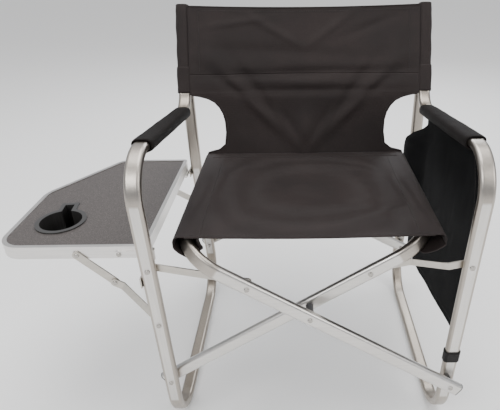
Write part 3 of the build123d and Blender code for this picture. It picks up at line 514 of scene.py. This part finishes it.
def seat_sleeve(side):
    section = sleeve_section(side)
    steps = np.concatenate([[0], np.cumsum(np.linalg.norm(np.diff(section, axis=0), axis=1))])
    even = np.linspace(0, steps[-1], SLEEVE_COLUMNS)
    grid = sleeve_grid(side, np.interp(even, steps, section[:, 0]), np.interp(even, steps, section[:, 1]))
    under = cloth(f"seat_sleeve_{word(side)}", grid, 1.4, "seat_fabric")
    hem = cord_along(f"seat_sleeve_hem_{word(side)}", grid[0], 1.4, "seat_fabric")
    body = f"{word(side)}_rail"
    ride_all([under, hem], body)


seat_sleeve(-1)
seat_sleeve(1)

# ---- back ------------------------------------------------------------------------------
BACK_TOP, BACK_BOTTOM = 785.0, 474.0
TUCK_Z = 469.0                         # the cloth ends just below the seat
CUT_Z = 604.0                          # top of the side cut-outs
LEAN_LOW_Z = 607.0                     # above this the cloth lies along the posts
BACK_HALF = 262.0
FACE = (TUBE_DEEP / 2 + 1.6 + 0.9) * POST_TILT
SEAM_Y = 372.6
TOP_SAG = 5.0
WAIST_Z = 645.0                        # the panel above it and the waist below it fold apart
# Height and half width of the cloth beside the cut-outs.
CUT_OUT = [(474, 229), (477, 226), (483, 200), (494, 186), (520, 182.5), (545, 184), (562, 188.5),
           (576, 196), (588, 207), (596, 222), (601, 240), (604, 262)]


def back_half(z):
    return float(np.interp(z, *zip(*CUT_OUT)))


def back_y(x, z):
    """Depth of the back cloth's middle surface."""
    y = post_y(z) - FACE
    if z < LEAN_LOW_Z:
        t = (z - BACK_BOTTOM) / (LEAN_LOW_Z - BACK_BOTTOM)
        y = SEAM_Y + (post_y(LEAN_LOW_Z) - FACE - SEAM_Y) * t + 3.0 * math.sin(math.pi * t)
    inward = float(ease(1 - abs(x) / 260.0))
    height = np.clip((z - BACK_BOTTOM) / (BACK_TOP - BACK_BOTTOM), 0, 1)
    return y + 4.0 * inward * math.sin(math.pi * height)


def top_sag(x):
    return TOP_SAG * (1 - (x / BACK_HALF) ** 2)


# Rows lie closest round the top of the cut-outs, where the outline turns.
rows_z = np.concatenate([np.linspace(BACK_TOP, 612, 74), np.linspace(610, 590, 24),
                         np.linspace(588, TUCK_Z, 58)])
back_grid = np.zeros((len(rows_z), 141, 3))
for i, z in enumerate(rows_z):
    half = BACK_HALF if z > CUT_Z else back_half(z)
    for j, x in enumerate(np.linspace(-half, half, 141)):
        back_grid[i, j] = (x, back_y(x, z), z - top_sag(x) * float(ease((z - 700) / 85.0)))

# Creases: centre (x, z), angle, reach along, reach across and depth. The first five are mirrored pairs.
for side in (-1, 1):
    dent(back_grid, 1, (side * 118, 585), -side * 2.35, 95, 12, -5.4)
    dent(back_grid, 1, (side * 96, 600), -side * 2.30, 90, 13, 4.6)
    dent(back_grid, 1, (side * 150, 610), -side * 2.60, 80, 11, 3.4)
    dent(back_grid, 1, (side * 60, 556), -side * 2.15, 70, 11, -3.6)
    dent(back_grid, 1, (side * 140, 660), -side * 2.9, 120, 14, -1.6)
for centre, angle, long, wide, depth in (
        ((0, 520), 1.57, 42, 24, -7.0), ((10, 648), 0.02, 200, 10, 4.4), ((-20, 630), -0.02, 190, 8, -1.4),
        ((0, 610), 0.0, 180, 9, 4.0), ((-40, 690), -0.05, 170, 14, 2.6), ((-70, 736), -0.5, 60, 9, -2.6),
        ((60, 738), 0.6, 60, 9, -2.6), ((150, 742), 0.35, 70, 9, 2.4), ((-150, 752), 0.12, 70, 8, -2.2)):
    dent(back_grid, 1, centre, angle, long, wide, depth)

waist_row = int(np.argmin(np.abs(rows_z - WAIST_Z)))
back = cloth("back_cloth_panel", back_grid[:waist_row + 1], 1.7, "seat_fabric")
waist = cloth("back_cloth_waist", back_grid[waist_row:], 1.7, "seat_fabric")
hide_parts("back_cloth")


def face_line(points, lift=1.2):
    """Points (x, z) carried onto the cloth's front face."""
    return [(x, back_y(x, z) - lift, z) for x, z in points]


STITCH_Z = BACK_TOP - 7
top_line = [(x, back_y(x, STITCH_Z) - 1.2, STITCH_Z - top_sag(x)) for x in np.linspace(-258, 258, 170)]
hem_line = [(x, back_y(x, BACK_TOP), BACK_TOP + 0.2 - top_sag(x))
            for x in np.linspace(-BACK_HALF, BACK_HALF, 120)]
back_pieces = [back, stitches("back_top_stitches", top_line),
               cord_along("back_top_hem", hem_line, 1.7, "seat_fabric")]
waist_pieces = [waist]
for side in (-1, 1):
    edge = [(side * back_half(z), back_y(side * back_half(z), z), z) for z in np.linspace(603.5, 476, 60)]
    waist_pieces.append(cord_along(f"back_cutout_hem_{word(side)}", edge, 1.6, "seat_fabric"))
    edge = [(side * (back_half(z) - 5), z) for z in np.linspace(598, 482, 90)]
    waist_pieces.append(stitches(f"back_cutout_stitches_{word(side)}", face_line(edge)))
    edge = [(side * 238, z) for z in np.linspace(776, WAIST_Z + 5, 90)]
    back_pieces.append(stitches(f"back_sleeve_stitches_{word(side)}", face_line(edge, 1.5)))

# Both the panel and the waist ride on the left frame, each with a mesh of its own. On the folded
# chair the panel spans the gap between the posts and the waist gathers in the middle, clear of the seat
# tubes.
PANEL_KEEP = 114.0 / 524.0
WAIST_KEEP = 0.05
waist_anchor = -BACK_HALF * (1 - PANEL_KEEP) / (1 - WAIST_KEEP)
for pieces, keep, anchor_x in ((back_pieces, PANEL_KEEP, -BACK_HALF),
                               (waist_pieces, WAIST_KEEP, waist_anchor)):
    ride_all(pieces, "left_frame")
    for piece in pieces:
        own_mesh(piece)

# ---- sleeves round the back posts ------------------------------------------------------
POST_HALF_X = 15.4
POST_FRONT, POST_BACK, POST_BACK_LOW = 10.2, 24.2, 5.0   # cloth's reach from the post's centre line
POST_LOW_Z, POST_JOIN_Z, POST_TOP_Z = 605.5, 656.0, 786.0
RING_POINTS = 56


def post_ring(side, z, reach):
    """The sleeve's section at one height; reach is how far it goes behind the post's centre line."""
    pinch = float(ease((z - 772) / 14.0)) * 2.0
    section = []
    for a, b in oval(2 * POST_HALF_X, POST_FRONT + reach, RING_POINTS):
        ripple = 0.5 * math.sin(z / 8.0 + 2.1 * a / 10.0) * float(ease((a * side) / 15.0))
        off = ((reach - POST_FRONT) / 2 + b) * (1 - 0.03 * pinch)
        section.append((side * FRAME_X + a * (1 - 0.05 * pinch) + side * ripple,
                        post_y(z) + off * POST_TILT * POST_COS ** 2, z - off * POST_LEAN * POST_COS))
    return section


def post_sleeve(side):
    """Cloth round a back post: closed above, where the rear leg's tube ends, and open behind below."""
    high = []
    for z in np.linspace(POST_JOIN_Z, POST_TOP_Z, 50):
        ring = post_ring(side, z, POST_BACK)
        high.append(ring + [ring[0]])
    high = np.array(high)
    trim = RING_POINTS // 8
    low = np.array([post_ring(side, z, POST_BACK_LOW)[trim:-trim]
                    for z in np.linspace(POST_LOW_Z, POST_JOIN_Z + 3, 22)])
    middle = high[-1][:-1].mean(axis=0)
    cap = np.array([[middle + (p - middle) * t + np.array([0, 0, 1.6 * (1 - t * t)]) for p in high[-1]]
                    for t in np.linspace(1.0, 0.04, 10)])
    made = [cloth(f"back_sleeve_{word(side)}", high[:, ::-1], 1.6, "seat_fabric", around=True),
            cloth(f"back_sleeve_low_{word(side)}", low[:, ::-1], 1.6, "seat_fabric"),
            cloth(f"back_sleeve_top_{word(side)}", cap, 1.4, "seat_fabric", around=True)]
    body = f"{word(side)}_frame"
    ride_all(made, body)


post_sleeve(-1)
post_sleeve(1)

# ---- armrest pads ----------------------------------------------------------------------
PAD_FRONT, PAD_REAR = 57.0, 372.0
PAD_WIDE, PAD_DEEP = 33.4, 21.6
SEAM_DROP, FLAP_LONG = 10.4, 7.0       # the loose seam starts this far under a pad's middle line
STITCH_DROP, STITCH_IN = 13.2, 2.4


def arm_pad(side):
    middle_x = side * FRAME_X
    ring = oval(PAD_WIDE, PAD_DEEP, RING_POINTS)
    grid = []
    for y in np.linspace(PAD_FRONT, PAD_REAR, 90):
        ends = float(ease((y - PAD_FRONT) / 8.0)) * float(ease((PAD_REAR - y) / 8.0))
        grow = 0.94 + 0.06 * ends
        section = []
        for a, b in ring:
            puff = 0.35 * math.sin(y / 23.0 + side) + 0.25 * math.sin(y / 9.0 + 5 * a / 30.0)
            section.append((middle_x + a * (grow + 0.02 * puff), y, arm_z(y) + b * (grow + 0.05 * puff)))
        grid.append(section + [section[0]])
    pad = cloth(f"{word(side)}_arm_pad_sleeve", np.array(grid), 2.2, "padded_fabric", around=True)
    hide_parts(f"{word(side)}_arm_pad")
    flap = []
    for y in np.linspace(PAD_FRONT + 5, PAD_REAR - 4, 110):
        wave = 1.5 * math.sin(y / 15.0) + 0.9 * math.sin(y / 6.1)
        top = arm_z(y) - SEAM_DROP
        flap.append([(middle_x + wave * t, y, top - FLAP_LONG * t - 0.7 * t * math.sin(y / 11.0))
                     for t in np.linspace(0, 1, 6)])
    line = [(middle_x - side * STITCH_IN + 0.6 * math.sin(y / 15.0), y, arm_z(y) - STITCH_DROP)
            for y in np.linspace(PAD_FRONT + 7, PAD_REAR - 6, 120)]
    extra = [cloth(f"{word(side)}_arm_pad_seam", np.array(flap), 2.2, "padded_fabric"),
             stitches(f"{word(side)}_arm_pad_stitches", line)]
    for y in (PAD_FRONT + 0.5, PAD_REAR - 0.5):
        end_ring = [(middle_x + a * 0.955, y, arm_z(y) + b * 0.955) for a, b in ring]
        name = f"{word(side)}_arm_pad_end_{int(y)}"
        extra.append(cord_along(name, end_ring, 1.3, "padded_fabric", closed=True))
    ride_all([pad, *extra], f"{word(side)}_frame")


arm_pad(-1)
arm_pad(1)

# ---- side bag --------------------------------------------------------------------------
# The panel's front and rear edges as (z, y), and its lower edge as (y, z).
FRONT_EDGE = [(252, 6), (262, 4.5), (300, 4), (470, 4), (520, 10), (550, 21), (565, 31), (585, 44), (606, 57)]
REAR_EDGE = [(186, 418), (300, 420), (420, 424), (470, 426), (492, 418), (510, 401), (528, 374), (545, 356),
             (566, 362)]
LOWER_EDGE = [(6, 252), (28, 242), (133, 225), (279, 193), (418, 186)]
BAG_X = FRAME_X + 3.4
BAG_DROP = 9.4                         # the bag's top edge lies this far under the arm tube's middle
CURL = 33.0                            # how far the rear edge turns inwards
SEAM_BACK = 1.4                        # the seams are sewn just inside the panel
SEAM_OUT = 1.2                         # and just outside the pouch
POCKET_X = FRAME_X + 4.8
POCKET_Y, POCKET_LONG = 76.0, 280.0
POCKET_Z, POCKET_TALL = 262.0, 206.0


def bag_point(s, t):
    """s runs from the panel's front edge to its rear edge, t from its lower edge to its top."""
    y = 10 + s * 395
    for _ in range(4):                 # each edge depends on the other, so a few rounds settle both
        low = float(np.interp(y, *zip(*LOWER_EDGE)))
        z = low + t * (arm_z(min(y, PAD_REAR)) - BAG_DROP - low)
        y0 = float(np.interp(z, *zip(*FRONT_EDGE)))
        y1 = float(np.interp(z, *zip(*REAR_EDGE)))
        y = y0 + s * (y1 - y0)
    calm = float(ease(t * 6)) * float(ease((1 - t) * 5))
    wave = 1.3 * math.sin(y / 38.0 + z / 120.0) + 0.4 * math.sin(y / 17.0 - z / 60.0)
    curl = -CURL * float(ease((s - 0.79) / 0.19)) * float(ease((z - 230) / 170.0))
    curl *= 1 - float(ease((z - 485) / 60.0))
    loose = 2.0 * math.sin(y / 30.0) * (1 - float(ease(t * 4)))
    return BAG_X + 0.8 * wave * calm + curl + 0.6 * loose, y, z


def pocket_point(s, t):
    """s runs from the pouch's front side to its rear side, t from its bottom to its mouth."""
    y = POCKET_Y + s * POCKET_LONG
    z = POCKET_Z + t * POCKET_TALL
    edge = float(ease(s * 9)) * float(ease((1 - s) * 9))
    swell = 0.45 + 0.55 * math.sin(math.pi * (0.25 + 0.6 * t))
    full = 3.0 + 9.5 * edge * swell * float(ease(t * 9))
    ripple = 0.8 * math.sin(y / 21.0 + z / 50.0) * edge
    return POCKET_X + full + ripple, y, z - 4.0 * t * math.sin(math.pi * s)


def point_grid(point, columns, rows):
    return np.array([[point(s, t) for s in np.linspace(0, 1, columns)] for t in np.linspace(0, 1, rows)])


def moved_x(points, dx):
    return [(p[0] + dx, p[1], p[2]) for p in points]


bag_grid = point_grid(bag_point, 84, 80)
bag = cloth("bag_panel_sheet", bag_grid, 1.5, "bag_fabric")
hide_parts("bag_panel")
bag_parts = [cord_along(f"bag_hem_{name}", line, 1.7, "bag_fabric")
             for name, line in (("lower", bag_grid[0]), ("front", bag_grid[:, 0]), ("rear", bag_grid[:, -1]))]
bag_parts.append(stitches("bag_lower_stitches", moved_x(bag_grid[3], -SEAM_BACK)))
bag_parts.append(stitches("bag_front_stitches", moved_x(bag_grid[2:-4, 2], -SEAM_BACK)))

pocket_grid = point_grid(pocket_point, 70, 50)
pouch = cloth("bag_pocket_sheet", pocket_grid[:, ::-1], 1.4, "bag_fabric")
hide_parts("bag_pocket")
pouch_parts = [cord_along("bag_pocket_hem", pocket_grid[-1], 1.7, "bag_fabric")]
for name, line in (("front", pocket_grid[:, 1]), ("rear", pocket_grid[:, -2]), ("low", pocket_grid[1])):
    pouch_parts.append(stitches(f"bag_pocket_stitches_{name}", moved_x(line, SEAM_OUT)))
ride_all([bag, *bag_parts, pouch, *pouch_parts], "right_frame")
for piece in [bag, *bag_parts]:
    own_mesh(piece)

# ---- leg strap -------------------------------------------------------------------------
STRAP_LOW, STRAP_HIGH = 190.5, 215.5
BAND_WIDE, BAND_DEEP = 30.0, 18.0
TAIL_OUT, STITCH_OUT = 9.7, 10.4       # reach of the tail and its stitches in front of the leg's middle

ring = oval(BAND_WIDE, BAND_DEEP, 64)
band = []
for z in np.linspace(STRAP_LOW, STRAP_HIGH, 14):
    section = [(FRAME_X + a * (1 + 0.006 * math.sin(z)), leg_y(z) + b, z) for a, b in ring]
    band.append(section + [(FRAME_X + ring[0][0], leg_y(z) + ring[0][1], z)])
strap = cloth("leg_strap_band", np.array(band), 1.3, "strap_webbing", around=True)
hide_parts("leg_strap")
tail = [[(FRAME_X + x, leg_y(z) - TAIL_OUT - 0.3 * math.cos(x / 6.0), z) for x in np.linspace(-11, 10, 16)]
        for z in np.linspace(STRAP_LOW + 1, STRAP_HIGH - 1, 12)]
strap_parts = [cloth("leg_strap_tail", np.array(tail), 1.1, "strap_webbing")]
for name, x in (("a", -9.0), ("b", 8.0)):
    line = [(FRAME_X + x, leg_y(z) - STITCH_OUT, z) for z in np.linspace(STRAP_LOW + 2, STRAP_HIGH - 2, 20)]
    strap_parts.append(stitches(f"leg_strap_stitches_{name}", line, length=2.4, gap=1.4))
ride_all([strap, *strap_parts], "right_frame")

# ---- floor and light -------------------------------------------------------------------
paper, *_ = new_material("paper", (0.93, 0.925, 0.92), 0.9)
bpy.ops.mesh.primitive_plane_add(size=60)
floor = bpy.context.object
floor.name = "floor"
floor.data.materials.append(paper)

world = bpy.context.scene.world or bpy.data.worlds.new("world")
bpy.context.scene.world = world
world.use_nodes = True
sky, sky_links = world.node_tree.nodes, world.node_tree.links
sky_place = sky.new("ShaderNodeTexCoord")
sky_split = sky.new("ShaderNodeSeparateXYZ")
sky_links.new(sky_place.outputs["Generated"], sky_split.inputs["Vector"])
sky_color = ramp(sky, sky_links, sky_split.outputs["Z"],
                 [(0.0, (0.20, 0.22, 0.26)), (0.25, (0.42, 0.45, 0.50)), (0.7, (1.0, 1.0, 1.0))])
sky_links.new(sky_color, sky["Background"].inputs["Color"])
sky["Background"].inputs["Strength"].default_value = 0.95


def area_light(name, place, target, size, power, color=(1, 1, 1)):
    data = bpy.data.lights.new(name, "AREA")
    data.shape = "RECTANGLE"
    data.size, data.size_y = size
    data.energy = power
    data.color = color
    obj = bpy.data.objects.new(name, data)
    bpy.context.scene.collection.objects.link(obj)
    obj.location = place
    aim = Vector(target) - Vector(place)
    obj.rotation_euler = aim.to_track_quat("-Z", "Y").to_euler()


area_light("key", (-1.6, -2.4, 2.6), (0, 0, 0.4), (1.8, 1.4), 50)
area_light("fill", (2.2, -1.6, 1.9), (0, 0, 0.4), (1.6, 1.6), 26, (1, 0.98, 0.95))
area_light("top", (0.1, 0.3, 3.0), (0, 0, 0.4), (2.2, 2.2), 60)
area_light("rim", (0.6, 2.4, 2.0), (0, 0, 0.5), (1.8, 1.0), 30, (0.92, 0.96, 1.0))

# ---- camera ----------------------------------------------------------------------------
CAMERA_AT = (-22.6, -697.3, 910.5)
PAN, PITCH, ROLL = -0.414, 61.652, -0.464      # degrees
camera_data = bpy.data.cameras.new("camera")
camera_data.sensor_width = 36
camera_data.lens = 35.15
camera_data.shift_x = -0.0985
camera_data.shift_y = 0.0005
camera = bpy.data.objects.new("camera", camera_data)
bpy.context.scene.collection.objects.link(camera)
camera.matrix_world = (Matrix.Translation(row(CAMERA_AT).tolist())
                       @ Matrix.Rotation(math.radians(PAN), 4, "Z")
                       @ Matrix.Rotation(math.radians(PITCH), 4, "X")
                       @ Matrix.Rotation(math.radians(ROLL), 4, "Z"))
bpy.context.scene.camera = camera
